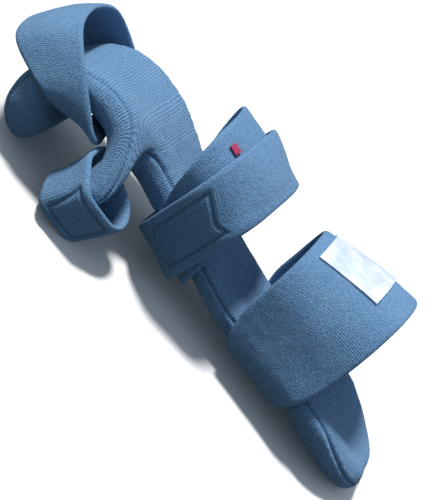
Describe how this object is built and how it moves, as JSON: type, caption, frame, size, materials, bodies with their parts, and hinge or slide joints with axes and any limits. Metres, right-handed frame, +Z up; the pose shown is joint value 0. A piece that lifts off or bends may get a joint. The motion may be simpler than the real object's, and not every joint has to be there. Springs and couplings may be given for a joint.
{
  "type": "resting hand splint",
  "caption": "Padded resting hand splint for the right hand, in light blue knitted terry, with a curled finger rest, a thumb flap and wrap straps.",
  "frame": {"origin": "bottom centre of the bounding box of the splint as it rests, palm side down", "axes": "+X towards the elbow, -X towards the fingertips, -Y towards the thumb side, +Z up, towards the back of the hand"},
  "size_m": [0.2812, 0.1128, 0.0926],
  "materials": {
    "terry_blue": "matte knitted terry",
    "label_satin": "satin",
    "tag_red": "woven"
  },
  "bodies": {
    "root": {"padded_board": "terry_blue", "finger_strap": "terry_blue", "thumb_strap": "terry_blue", "hand_strap_under": "terry_blue", "hand_strap_over": "terry_blue", "forearm_strap": "terry_blue", "label": "label_satin", "red_tab": "tag_red"}
  },
  "joints": []
}
